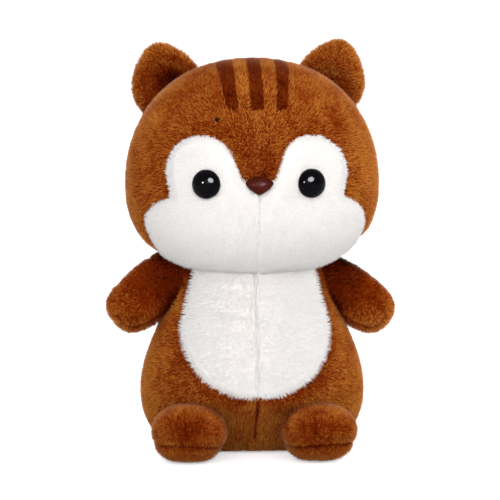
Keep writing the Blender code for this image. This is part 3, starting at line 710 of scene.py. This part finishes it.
def makeEar(name, side):
    shape = quadBall(ears["divisions"])
    half = Vector((ears["width"], ears["thickness"], ears["length"])) / 2 - Vector([ears["underPile"]] * 3)
    hollow, edge = (shape.verts.layers.float.new(layer) for layer in ("hollow", "edge"))
    for vert in shape.verts:
        x, y, z = vert.co
        height = (z + 1) / 2
        spread = math.hypot(x + ears["hollowIn"][name] * side, z + ears["hollowDown"][name]) / ears["hollowReach"]
        vert[hollow] = max(0, 1 - spread ** 2) ** 1.5 if y < 0 else 0
        vert[edge] = (x * x + z * z) ** 3
        vert.co = Vector((x * half.x * (1 - ears["narrowing"] * height ** 2),
                          y * half.y + ears["cup"] * vert[hollow],
                          ears["underPile"] + height * half.z * 2))
    stuff(shape, levelLine(shape, lambda points: points[:, 1] + 1e-9))
    angle = math.radians(ears["rootAngle"])
    towards = Vector((side * math.sin(angle), 0, math.cos(angle)))
    surface = headMiddle + towards * 0.05
    surface -= towards * float(headGap(np.array([surface]), 0)[0])
    root = surface - towards * ears["rootDepth"] + Vector((side * ears["shift"][name], ears["setBack"], ears["lift"][name]))
    place = Matrix.Translation(root) @ Matrix.Rotation(side * math.radians(ears["lean"]), 4, "Y") \
        @ Matrix.Rotation(side * math.radians(ears["turn"]), 4, "Z")
    bmesh.ops.transform(shape, matrix=place, verts=shape.verts)
    trimToForm(shape, headGap, 0.0004 - head["underPile"] + stuffing["swell"])
    upwards = place.to_3x3() @ Vector((0, 0, 1))
    makeSkin(f"ear_{name}_skin", shape.copy(), "brown", f"ear_{name}")
    # The pile is paler towards its rim, with painted shade in its hollow and beside the head.
    growPile(f"ear_{name}_pile", shape, "velvet", [], lambda point: upwards,
             lambda vert: ears["pale"][name] + 0.35 * vert[edge] - ears["hollowShade"][name] * vert[hollow] - ears["rootShade"] * nearness(vert, 0.002, headGap),
             41 + side)


def nearness(vert, reach, *gaps):
    # From 1 at another piece's surface to nothing beyond a few times the reach.
    spot = np.array([vert.co])
    return math.exp(-max(0, min(float(gap(spot)[0]) for gap in gaps)) / reach)


def trimToForm(shape, gap, grow):
    # Removes what lies inside another piece's form.
    cutAlong(shape, lambda points: gap(points, grow) + 1e-9)
    inside = gap(middles(shape), grow) < 0
    bmesh.ops.delete(shape, geom=[one for one, gone in zip(list(shape.faces), inside) if gone], context="FACES")


for name, side in sides:
    makeEar(name, side)
print("ears ready")


# Body

body = {
    "hipWidth": 0.1226, "hipDepth": 0.098, "hipHeight": 0.036, "basePower": 2.6, "sink": 0.0012,
    "neckWidth": 0.079, "neckRise": 0.0113, "steps": 132, "rowHeight": 0.0026, "underPile": 0.0028,
    "seamDepth": 0.0014, "seamWidth": 0.0018,
    "frontLift": 0.036,         # how far the lower edge turns up in front
}
belly = {
    "halfWidth": 0.042, "widestHeight": 0.068, "footHeight": 0.0341, "neckHalfWidth": 0.034, "tuck": 0.006,
    "drawnIn": 0.0023,          # its pile spreads this far over the brown
}
neckHeight = head["chin"] + body["neckRise"]


def bodyHalfWidth(height):
    z = np.asarray(height, dtype=float)
    drop = np.clip((body["hipHeight"] - z) / (body["hipHeight"] + body["sink"]), 0, 1)
    low = body["hipWidth"] / 2 * (1 - drop ** body["basePower"]) ** (1 / body["basePower"])
    share = np.clip((z - body["hipHeight"]) / (neckHeight - body["hipHeight"]), 0, 1)
    high = body["hipWidth"] / 2 + (body["neckWidth"] - body["hipWidth"]) / 2 * share * share * (3 - 2 * share)
    return np.where(z < body["hipHeight"], low, high)


def bodyGap(points, grow=0.0):
    # Level distance outside the body's form, negative inside.
    stretch = body["hipWidth"] / body["hipDepth"]
    radius = np.hypot(points[:, 0], points[:, 1] * stretch)
    return np.maximum(radius - bodyHalfWidth(points[:, 2]) - grow, points[:, 2] - neckHeight)


def bodyForm(grow):
    low = [body["hipHeight"] * (1 - math.cos(math.pi / 2 * row / 18)) for row in range(18)]
    rows = round((neckHeight - body["hipHeight"]) / body["rowHeight"])
    high = [body["hipHeight"] + (neckHeight - body["hipHeight"]) * row / rows for row in range(rows + 1)]
    heights = [max(z, 0.0006) for z in low] + high
    side = [(float(bodyHalfWidth(z)) + grow, z) for z in reversed(heights)]
    topRing = [(side[0][0] * share, neckHeight) for share in (0.25, 0.5, 0.75)]
    foot = [(side[-1][0] * share, 0.0006) for share in (0.96, 0.85, 0.7, 0.5, 0.3, 0.12)]
    shape = turned([(0, neckHeight)] + topRing + side + foot + [(0, 0.0006)], body["steps"])
    for vert in shape.verts:
        vert.co.y *= body["hipDepth"] / body["hipWidth"]
        forward = max(0, -vert.co.y - 0.006) / (body["hipDepth"] / 2)
        vert.co.z += body["frontLift"] * forward * max(0, 1 - vert.co.z / body["hipHeight"])
    return shape


def bellyOutline():
    wide, middle, neck = belly["halfWidth"], belly["widestHeight"], belly["neckHalfWidth"]
    drop, rise = middle - belly["footHeight"], head["chin"] - middle
    oneSide = [
        (0.45 * wide, middle - 0.90 * drop, False),
        (0.83 * wide, middle - 0.56 * drop, False),
        (wide, middle, False),
        (0.6 * wide + 0.4 * neck, middle + 0.58 * rise, False),
        (neck, head["chin"] + belly["tuck"], False),
        (0.88 * neck, neckHeight + belly["tuck"], True),
    ]
    return [(0, belly["footHeight"], False)] + oneSide + [(-x, z, corner) for x, z, corner in reversed(oneSide)]


def makeBody():
    shape = bodyForm(-body["underPile"])
    line = drawnLine(bellyOutline())

    def bellyGap(points):
        return np.maximum(lineGap(points, line) + belly["drawnIn"], points[:, 1] - head["panelBack"])

    cutAlong(shape, bellyGap)
    bellySeam = levelLine(shape, lambda points: bellyGap(points) + 1e-7)
    middle = lambda points: points[:, 0] + 1e-9
    lowSeam = levelLine(shape, middle, lambda p: p.y < -0.02 and p.z < belly["footHeight"])
    backSeam = levelLine(shape, middle, lambda p: p.y > 0.02)
    panelSeam = levelLine(shape, middle, lambda p: p.y < -0.02 and p.z >= belly["footHeight"])
    sinkSeam(shape, bellySeam, body["seamDepth"], body["seamWidth"])
    sinkSeam(shape, lowSeam + backSeam, 0.6 * body["seamDepth"], body["seamWidth"])
    sinkSeam(shape, panelSeam, head["faintDepth"], head["faintWidth"])
    stuff(shape, bellySeam + lowSeam + backSeam, lambda point: point.z < 0.002)
    trimToForm(shape, headGap, 0.0003 - head["underPile"] + stuffing["swell"])
    print("body sewn")

    centres = middles(shape)
    inBelly = bellyGap(centres) < 0
    makeSkin("body_skin", takeFaces(shape, ~inBelly), "brown", "body")
    aboveFloor = centres[:, 2] > 0.0012
    seams = [(bellySeam, 0.5, 0.8), (lowSeam + backSeam, 1.8, 0.35)]
    for name, kept in (("body_pile_front", centres[:, 1] < 0), ("body_pile_back", centres[:, 1] >= 0)):
        growPile(name, takeFaces(shape, ~inBelly & aboveFloor & kept), "brown", seams,
                 lambda point: (point.x * 4, point.y * 4, -1), bodyPale, 51)
    for name, side in sides:
        kept = inBelly & (side * centres[:, 0] > 0)
        makeSkin(f"belly_patch_{name}_skin", takeFaces(shape, kept), "white", f"belly_patch_{name}")
    # The belly's pile is darker beneath the head: painted shade.
    growPile("belly_pile", takeFaces(shape, inBelly), "belly", [(bellySeam, 0, 1), (panelSeam, 0.15, 0.95)],
             lambda point: (point.x * 9, 0, -0.7), lambda vert: 0.55 - 0.9 * nearness(vert, 0.005, headGap),
             61, overlap=0.9)
    shape.free()


def bodyPale(vert):
    # Painted light down the sides, more on the left side, and low down in front; painted shade under the head.
    side = max(0.0, abs(vert.co.x) / (body["hipWidth"] / 2) - 0.5)
    low = max(0.0, 1 - vert.co.z / body["hipHeight"]) if vert.co.y < 0 else 0
    return 0.38 + (0.4 if vert.co.x < 0 else 0.5) * side + 0.45 * low - 0.9 * nearness(vert, 0.006, headGap)


makeBody()
print("body ready")


# Arms, feet and tail

arms = {
    "thickness": 0.024, "handHalf": 0.0148, "shoulderHalf": 0.0158, "shoulderHeight": 0.0945,
    "inset": 0.001, "length": 0.0285, "slope": 31.7, "divisions": 26, "underPile": 0.0021,
    "seamFront": 0.66, "seamDepth": 0.0010, "seamWidth": 0.0012,      # seen from the front, inside the outline
    "fuller": {"left": 0.0014, "right": 0.0056}, "bulge": 0.0014,      # of the upper side
    "shift": {"left": (-0.0016, 0, -0.0014), "right": (0.0008, 0, 0)},
    # Painted shade of the pile in the armpit beside the body, above pitHeight, and wherever it nears the body.
    "pitShade": 3.2, "pitReach": 0.013, "pitHeight": 0.074,      # of the pile beside the body, above that height
    "bodyShade": 1.1, "bodyReach": 0.004,
}
feet = {
    "width": 0.0424, "length": 0.048, "height": 0.0324, "spacing": 0.071, "front": 0.018, "sink": 0.0006,
    "turn": 7.0, "power": 2.2, "divisions": 28, "underPile": 0.0028, "seamHeight": 0.0038, "seamRise": 0.30,
    "seamDepth": 0.0005, "seamWidth": 0.0012, "creaseLength": 0.0120, "creaseHeight": 0.019, "creaseIn": 0.0032,
    "shift": -0.0019,           # of both, to the toy's right
    "toeLift": 0.0080, "liftBack": 0.007,       # how far the sole turns up at the toes, and how far back that starts
}
tail = {
    "width": 0.056, "thickness": 0.034, "height": 0.100, "lift": 0.007, "sink": 0.009, "lean": 0.010,
    "power": 2.3, "divisions": 40, "underPile": 0.0028,
}


def makeArm(name, side):
    shape = quadBall(arms["divisions"])
    under = arms["underPile"]
    for vert in shape.verts:
        x, y, z = vert.co
        share = 0.5 + 0.5 * max(-1, min(1, z / 0.4))
        half = arms["shoulderHalf"] + (arms["handHalf"] - arms["shoulderHalf"]) * share - under
        more = (arms["fuller"][name] * (1 - 0.5 * share) + arms["bulge"] * math.sin(math.pi * share)) * max(0, -x * side)
        vert.co = Vector((x * (half + more), y * (arms["thickness"] / 2 - under),
                          z * (half + more) + arms["length"] * share))
    level = arms["seamFront"] * (arms["thickness"] / 2 - under)
    seam = levelLine(shape, lambda points: points[:, 1] + level, lambda point: point.x * side > -0.003)
    sinkSeam(shape, seam, arms["seamDepth"], arms["seamWidth"])
    stuff(shape, seam)
    halfWidth = float(bodyHalfWidth(arms["shoulderHeight"]))
    shoulder = Vector((side * (halfWidth - arms["inset"]), 0, arms["shoulderHeight"])) + Vector(arms["shift"][name])
    place = Matrix.Translation(shoulder) @ Matrix.Rotation(side * math.radians(90 + arms["slope"]), 4, "Y")
    bmesh.ops.transform(shape, matrix=place, verts=shape.verts)
    seam = [place @ point for point in seam]
    trimToForm(shape, bodyGap, 0.0003 - body["underPile"] + stuffing["swell"])
    trimToForm(shape, headGap, 0.0003 - head["underPile"] + stuffing["swell"])
    along = place.to_3x3() @ Vector((0, 0, 1))
    makeSkin(f"arm_{name}_skin", shape.copy(), "brown", f"arm_{name}")
    growPile(f"arm_{name}_pile", shape, "brown", [(seam, 3.6, 0.2)], lambda point: along, armPale, 71 + side)


def armPale(vert):
    # Painted shade in the armpit and beside the body, and painted light on the underside.
    pit = min(1, max(0, (vert.co.z - arms["pitHeight"]) / 0.022)) * nearness(vert, arms["pitReach"], bodyGap)
    return 0.38 + 0.4 * max(0, -vert.normal.z) - arms["pitShade"] * pit \
        - arms["bodyShade"] * nearness(vert, arms["bodyReach"], bodyGap)


def footPoint(vert, half):
    vert *= sum(abs(c) ** feet["power"] for c in vert) ** (-1 / feet["power"])
    return Vector([c * size for c, size in zip(vert, half)])


def makeFoot(name, side):
    under = feet["underPile"]
    whole = Vector((feet["width"], feet["length"], feet["height"] + feet["sink"])) / 2
    half = whole - Vector([under] * 3)
    shape = quadBall(feet["divisions"])
    for vert in shape.verts:
        vert.co = footPoint(vert.co.copy(), half)
    front = -body["hipDepth"] / 2 - feet["front"]
    middle = Vector((side * feet["spacing"] / 2 + feet["shift"], front + whole.y, whole.z - feet["sink"]))
    place = Matrix.Translation(middle) @ Matrix.Rotation(side * math.radians(feet["turn"]), 4, "Z")
    bmesh.ops.transform(shape, matrix=place, verts=shape.verts)
    slope = np.array([-0.06 * side, -feet["seamRise"], 1])
    lowest = np.array([middle.x, front, feet["seamHeight"]])
    soleSeam = levelLine(shape, lambda points: (points - lowest) @ slope)
    half = feet["creaseLength"] / 2
    crease = levelLine(shape, lambda points: points[:, 0] - middle.x + feet["creaseIn"],
                       lambda p: p.y < middle.y and abs(p.z - feet["creaseHeight"]) < half)
    sinkSeam(shape, soleSeam, feet["seamDepth"], feet["seamWidth"])
    sinkSeam(shape, crease, feet["seamDepth"], feet["seamWidth"])
    stuff(shape, soleSeam + crease)
    for vert in shape.verts:
        vert.co.z = max(vert.co.z, 0.0008)
    for point in [vert.co for vert in shape.verts] + soleSeam + crease:
        forward = max(0, middle.y + feet["liftBack"] - point.y) / whole.y
        point.z += feet["toeLift"] * forward ** 2 * max(0, 1 - point.z / feet["height"])
    trimToForm(shape, bodyGap, 0.0003 - body["underPile"] + stuffing["swell"])
    makeSkin(f"foot_{name}_skin", shape.copy(), "brown", f"foot_{name}")
    growPile(f"foot_{name}_pile", shape, "velvet", [(soleSeam, 2.0, 0.45), (crease, 1.0, 0.6)],
             lambda point: (0, -0.5, -0.6), lambda vert: footPale(vert, middle, whole), 81 + side)


def footPale(vert, middle, whole):
    # Darker in the middle, with painted light towards the outline and on the underside, and painted shade where it
    # meets the body.
    away = vert.co - middle
    rim = math.hypot(away.x / whole.x, away.z / whole.z)
    return -0.06 + 0.5 * min(1, rim) ** 2 + 0.4 * max(0, -vert.normal.z) - 1.0 * nearness(vert, 0.004, bodyGap)


def makeTail():
    under = tail["underPile"]
    whole = Vector((tail["width"], tail["thickness"], tail["height"])) / 2
    half = whole - Vector([under] * 3)
    shape = quadBall(tail["divisions"])
    for vert in shape.verts:
        size = sum(abs(c) ** tail["power"] for c in vert.co) ** (-1 / tail["power"])
        x, y, z = vert.co * size
        vert.co = Vector((x * half.x, y * half.y + tail["lean"] * ((z + 1) / 2) ** 2, z * half.z))
    middle = Vector((0, body["hipDepth"] / 2 + whole.y - tail["sink"], tail["lift"] + whole.z))
    bmesh.ops.translate(shape, vec=middle, verts=shape.verts)
    seam = levelLine(shape, lambda points: points[:, 1] - middle.y - 0.004)
    sinkSeam(shape, seam, 0.0005, 0.0014)
    stuff(shape, seam)
    trimToForm(shape, bodyGap, 0.0003 - body["underPile"] + stuffing["swell"])
    makeSkin("tail_skin", shape.copy(), "brown", "tail")
    # The tail's pile is darker beside the body: painted shade.
    growPile("tail_pile", shape, "brown", [(seam, 0.9, 0.6)], lambda point: (0, 0.2, 1),
             lambda vert: 0.45 - 0.8 * nearness(vert, 0.005, bodyGap), 91)


for name, side in sides:
    makeArm(name, side)
    makeFoot(name, side)
makeTail()
print("limbs and tail ready")


# Eyes, nose and washers

buttons = {
    "eyeDiameter": 0.016, "eyeHeight": 0.0062, "eyeSpacing": 0.0574, "eyeRise": 0.0064, "eyeTurn": 7.0,
    "noseWidth": 0.0138, "noseHeight": 0.0103, "noseProud": 0.0060, "noseRise": 0.0059, "noseTaper": 0.32, "noseCrown": 0.7,
    "rim": 0.0014, "stemDiameter": 0.004, "stemLength": 0.012, "edge": 0.0004, "steps": 64,
}


def buttonPlace(x, z):
    # Local Z points out of the face, local Y up.
    up = z - cheekHeight
    power = head["crownPower"]
    upright = up / head["crownRise"]
    level = (1 - upright ** power) ** (2 / power)
    y = -head["depth"] / 2 * math.sqrt(level - (x / (head["width"] / 2)) ** 2)
    share = level ** (power / 2 - 1)
    normal = Vector((share / (head["width"] / 2) ** 2 * x, share / (head["depth"] / 2) ** 2 * y,
                     upright ** power / up)).normalized()
    right = Vector((0, 0, 1)).cross(normal).normalized()
    turn = Matrix((right, normal.cross(right), normal)).transposed().to_4x4()
    return Matrix.Translation(Vector((x, y, z))) @ turn


def buttonProfile(radius, height):
    arc = [math.pi / 2 * step / 20 for step in range(20)]
    dome = [(radius * math.sin(a), height * math.cos(a)) for a in arc]
    edge = buttons["edge"]
    rim = [(radius, 0), (radius, -buttons["rim"] + edge), (radius - edge * 0.3, -buttons["rim"] + edge * 0.3),
           (radius - edge, -buttons["rim"])]
    stem, end = buttons["stemDiameter"] / 2, -buttons["rim"] - buttons["stemLength"]
    return dome + rim + [(stem, -buttons["rim"]), (stem, end + edge), (stem - edge, end), (0, end)]


def makeButton(node, profile, place, material, slot, squeeze=False):
    shape = turned(profile, buttons["steps"])
    if squeeze:
        for vert in shape.verts:
            if vert.co.xy.length > buttons["stemDiameter"] / 2 + 1e-5:
                level = vert.co.y / (buttons["noseWidth"] / 2)
                vert.co.x *= 1 + buttons["noseTaper" if level < 0 else "noseCrown"] * level * (1 - level)
                vert.co.y *= buttons["noseHeight"] / buttons["noseWidth"]
    bmesh.ops.transform(shape, matrix=place, verts=shape.verts)
    piece = addObject(f"{node}_button", shape)
    piece.data.materials.append(material)
    finishPiece(piece, slot, node)


def mouldedPlastic(name, colour, warm, roughness, gloss):
    # Moulded plastic: a slight cloudiness in the colour, and fine waviness in the gloss.
    material, tree, shader = newMaterial(name, {"Roughness": roughness, "Specular IOR Level": gloss})
    place = addNode(tree, "ShaderNodeTexCoord").outputs["Object"]
    cloud = addNode(tree, "ShaderNodeTexNoise", {"Vector": place, "Scale": 220.0, "Detail": 2.0}).outputs["Fac"]
    wave = addNode(tree, "ShaderNodeTexNoise", {"Vector": place, "Scale": 500.0, "Detail": 2.0}).outputs["Fac"]
    tree.links.new(mixColours(tree, cloud, colour, warm), shader.inputs["Base Color"])
    bump = addNode(tree, "ShaderNodeBump", {"Strength": 0.05, "Distance": 0.0002, "Height": wave})
    tree.links.new(bump.outputs[0], shader.inputs["Normal"])
    return material


eyePlastic = mouldedPlastic("eyePlastic", (0.0012, 0.0012, 0.002), (0.002, 0.002, 0.003), 0.10, 0.026)
nosePlastic = mouldedPlastic("nosePlastic", (0.038, 0.004, 0.002), (0.055, 0.007, 0.004), 0.34, 0.014)
washerPlastic = mouldedPlastic("washerPlastic", (0.72, 0.72, 0.70), (0.78, 0.78, 0.76), 0.5, 0.5)
for name, side in sides:
    makeButton(f"eye_{name}", buttonProfile(buttons["eyeDiameter"] / 2, buttons["eyeHeight"]),
               buttonPlace(side * buttons["eyeSpacing"] / 2, cheekHeight + buttons["eyeRise"])
               @ Matrix.Rotation(side * math.radians(buttons["eyeTurn"]), 4, "Y"),
               eyePlastic, "eye_plastic")
makeButton("nose", buttonProfile(buttons["noseWidth"] / 2, buttons["noseProud"]),
           buttonPlace(0, cheekHeight + buttons["noseRise"]), nosePlastic, "nose_plastic", squeeze=True)
for node in ("eye_washer_left", "eye_washer_right", "nose_washer"):
    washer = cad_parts[node]
    for holder in washer.material_slots:
        holder.material = washerPlastic
print("buttons ready")


# A dark knot of thread on the forehead

fleck = {"x": -0.0221, "z": 0.189, "radius": 0.0011, "proud": 0.0002}


def makeFleck():
    shape = bmesh.new()
    bmesh.ops.create_icosphere(shape, subdivisions=4, radius=fleck["radius"])
    for vert in shape.verts:
        vert.co *= 1 + 0.18 * math.sin(vert.co.x * 9000) * math.cos(vert.co.z * 7000 + 1)
        vert.co.z *= 1.25
    place = buttonPlace(fleck["x"], fleck["z"]) @ Matrix.Translation((0, 0, fleck["proud"]))
    bmesh.ops.transform(shape, matrix=place, verts=shape.verts)
    piece = addObject("dark_fleck", shape)
    material, tree, shader = newMaterial("darkThread", {"Roughness": 0.85, "Specular IOR Level": 0.0})
    place = addNode(tree, "ShaderNodeTexCoord").outputs["Object"]
    twist = addNode(tree, "ShaderNodeTexNoise", {"Vector": place, "Scale": 2500.0}).outputs["Fac"]
    tree.links.new(mixColours(tree, twist, (0.004, 0.002, 0.001), (0.03, 0.012, 0.008)), shader.inputs["Base Color"])
    piece.data.materials.append(material)
    finishPiece(piece, "dark_plush")


makeFleck()


# Floor and light

studio = {
    "floorHalf": 3.0, "floorWhite": 0.88, "nearLift": 0.56, "farLift": 0.9, "liftFrom": 0.10, "liftTo": 0.7,
    "worldLight": 1.0,
    "boxSize": (1.2, 0.9), "boxDistance": 1.6, "boxAzimuth": -6.0, "boxElevation": 22.0, "boxPower": 17.1,
    "glossAzimuth": 14.0, "glossElevation": 32.0, "glossPower": 640.0,   # of a lamp for the gloss alone
    "glintSize": 0.15, "glintDistance": 1.4, "glintAzimuth": -43.0, "glintElevation": 14.0, "glintPower": 75.0,
    "rimSize": 0.6, "rimDistance": 1.3, "rimAzimuth": 78.0, "rimElevation": 20.0, "rimPower": 4.2,
    "topSize": 1.6, "topHeight": 1.7, "topPower": 3.2,
}


def addLight(name, size, azimuth, elevation, distance, power, lighting=True, mirrored=True):
    light = bpy.data.lights.new(name, "AREA")
    light.shape = "ELLIPSE"
    light.size, light.size_y = size
    light.energy = power
    holder = bpy.data.objects.new(name, light)
    _, forward, _ = viewAxes(azimuth, elevation)
    holder.location = Vector((0, 0, 0.12)) - forward * distance
    holder.rotation_euler = forward.to_track_quat("-Z", "Y").to_euler()
    holder.visible_diffuse, holder.visible_glossy = lighting, mirrored
    bpy.context.collection.objects.link(holder)


def makeStudio():
    floor = bmesh.new()
    half = studio["floorHalf"]
    bmesh.ops.create_grid(floor, x_segments=1, y_segments=1, size=half)
    sheet = addObject("floor", floor)
    material, tree, shader = newMaterial("floorPaper", {"Roughness": 0.9, "Specular IOR Level": 0.0})
    white = studio["floorWhite"]
    shader.inputs["Base Color"].default_value = (white, white, white, 1)
    rays = addNode(tree, "ShaderNodeLightPath").outputs
    place = addNode(tree, "ShaderNodeTexCoord").outputs["Object"]
    away = addNode(tree, "ShaderNodeVectorMath", {0: place}, operation="LENGTH").outputs["Value"]
    paler = addNode(tree, "ShaderNodeMapRange", {
        "Value": away, "From Min": studio["liftFrom"], "From Max": studio["liftTo"],
        "To Min": studio["nearLift"], "To Max": studio["farLift"]}).outputs[0]
    seen = addNode(tree, "ShaderNodeMath", {0: rays["Is Camera Ray"], 1: rays["Is Glossy Ray"]},
                   operation="MAXIMUM").outputs[0]
    lift = addNode(tree, "ShaderNodeMath", {0: seen, 1: paler}, operation="MULTIPLY")
    shader.inputs["Emission Color"].default_value = (1, 1, 1, 1)
    tree.links.new(lift.outputs[0], shader.inputs["Emission Strength"])
    sheet.data.materials.append(material)

    world = bpy.data.worlds.new("studio")
    bpy.context.scene.world = world
    world.use_nodes = True
    tree = world.node_tree
    background = tree.nodes["Background"]
    background.inputs["Color"].default_value = (1, 1, 1, 1)
    rays = addNode(tree, "ShaderNodeLightPath").outputs
    seen = addNode(tree, "ShaderNodeMath", {0: rays["Is Camera Ray"], 1: rays["Is Glossy Ray"]},
                   operation="MAXIMUM").outputs[0]
    strength = addNode(tree, "ShaderNodeMapRange", {"Value": seen, "To Min": studio["worldLight"], "To Max": 1.0})
    tree.links.new(strength.outputs[0], background.inputs["Strength"])

    addLight("softbox", studio["boxSize"], studio["boxAzimuth"], studio["boxElevation"], studio["boxDistance"],
             studio["boxPower"])
    addLight("softbox gloss", studio["boxSize"], studio["glossAzimuth"], studio["glossElevation"],
             studio["boxDistance"], studio["glossPower"], lighting=False)
    addLight("side glint", (studio["glintSize"],) * 2, studio["glintAzimuth"], studio["glintElevation"],
             studio["glintDistance"], studio["glintPower"], lighting=False)
    addLight("rim light", (studio["rimSize"],) * 2, studio["rimAzimuth"], studio["rimElevation"],
             studio["rimDistance"], studio["rimPower"], mirrored=False)
    addLight("top light", (studio["topSize"],) * 2, 0, 89.9, studio["topHeight"], studio["topPower"],
             mirrored=False)
    bpy.context.scene.view_settings.view_transform = "Standard"


makeStudio()
print("studio ready")
